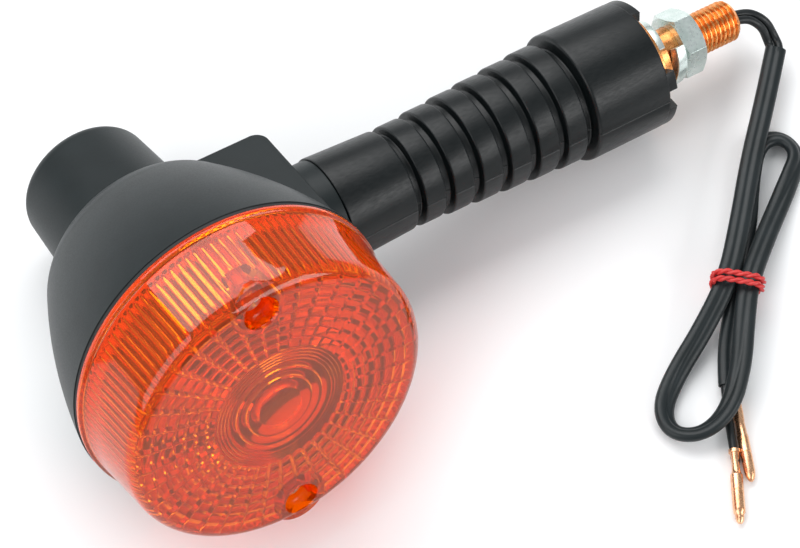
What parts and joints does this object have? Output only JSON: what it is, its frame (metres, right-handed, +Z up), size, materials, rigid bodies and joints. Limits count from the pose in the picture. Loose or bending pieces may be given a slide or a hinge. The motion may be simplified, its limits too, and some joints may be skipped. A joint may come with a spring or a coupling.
{
  "type": "motorcycle turn signal indicator",
  "caption": "Round amber-lensed turn signal lamp with a black cup housing on a flexible ribbed rubber stem, with a hollow threaded stud and nut, and a folded lead with bullet terminals.",
  "frame": {"origin": "on the surface that the lamp lies on, below the middle of the lamp and its stem (the free cord not counted)", "axes": "+X along the stem from the lamp to the mounting stud, +Z up from the surface; the lens faces -Y and about 20 degrees up"},
  "size_m": [0.1913, 0.1431, 0.0743],
  "materials": {
    "housing_plastic": "satin, fine moulded grain",
    "amber_lens": "clear gloss outside, fluted and pillowed inside",
    "gasket_rubber": "matte",
    "zinc": "bright zinc plate",
    "reflector_metal": "bright pressed sheet",
    "bulb_glass": "clear",
    "nickel": "nickel plate",
    "black_glass": "vitrified insulator",
    "solder": "soft solder",
    "tungsten": "drawn wire",
    "fibre": "pressed board",
    "brass": "turned",
    "spring_steel": "drawn wire",
    "stem_rubber": "semi-gloss moulded",
    "copper_plate": "copper flash over steel",
    "lead_pvc": "extruded",
    "sheath_pvc": "satin extruded",
    "copper_terminal": "bright pressed",
    "red_tie": "smooth"
  },
  "bodies": {
    "stem_mount": {"rubber_stem": "stem_rubber", "mounting_stud": "copper_plate", "lock_washer": "zinc", "live_lead": "lead_pvc", "earth_lead": "lead_pvc", "live_exit_lead": "lead_pvc", "earth_exit_lead": "lead_pvc", "cable_sheath": "sheath_pvc", "live_end_lead": "lead_pvc", "earth_end_lead": "lead_pvc", "live_bullet": "copper_terminal", "earth_bullet": "copper_terminal", "cable_tie": "red_tie"},
    "lamp_head": {"housing": "housing_plastic", "lens_gasket": "gasket_rubber", "reflector": "reflector_metal", "socket_shell": "nickel", "socket_holder": "fibre", "contact_spring": "spring_steel", "inner_stud": "copper_plate", "inner_washer": "zinc", "inner_nut": "zinc"},
    "lens_unit": {"lens": "amber_lens", "upper_lens_screw": "zinc", "lower_lens_screw": "zinc"},
    "bulb": {"bulb_glass": "bulb_glass", "bulb_cap": "nickel", "bulb_insulator": "black_glass", "bulb_contact": "solder", "filament_mount": "bulb_glass", "bulb_filament": "tungsten"},
    "contact": {"contact_plunger": "brass"},
    "nut": {"hex_nut": "zinc"}
  },
  "joints": [
    {"name": "stem_flex", "type": "hinge", "parent": "stem_mount", "child": "lamp_head", "pos_m": [0.02316, 0.00534, 0.01935], "axis": [0.0965, 0.3507, 0.9315], "range_deg": [-25, 25], "stiffness_Nm_per_rad": 3, "deforming": ["rubber_stem", "live_lead", "earth_lead"]},
    {"name": "lens_slide", "type": "slide", "parent": "lamp_head", "child": "lens_unit", "axis": [0.0361, -0.9365, 0.3489], "range_m": [0, 0.045]},
    {"name": "bulb_push", "type": "slide", "parent": "lamp_head", "child": "bulb", "axis": [-0.0361, 0.9365, -0.3489], "range_m": [0, 0.002], "stiffness_N_per_m": 2000},
    {"name": "plunger_slide", "type": "slide", "parent": "lamp_head", "child": "contact", "axis": [-0.0361, 0.9365, -0.3489], "range_m": [0, 0.002], "deforming": ["contact_spring"]},
    {"name": "nut_travel", "type": "slide", "parent": "stem_mount", "child": "nut", "axis": [0.9947, 0, -0.103], "range_m": [0, 0.0115]}
  ],
  "couplings": [
    {"joint": "plunger_slide", "follows": "bulb_push", "ratio": 1}
  ]
}
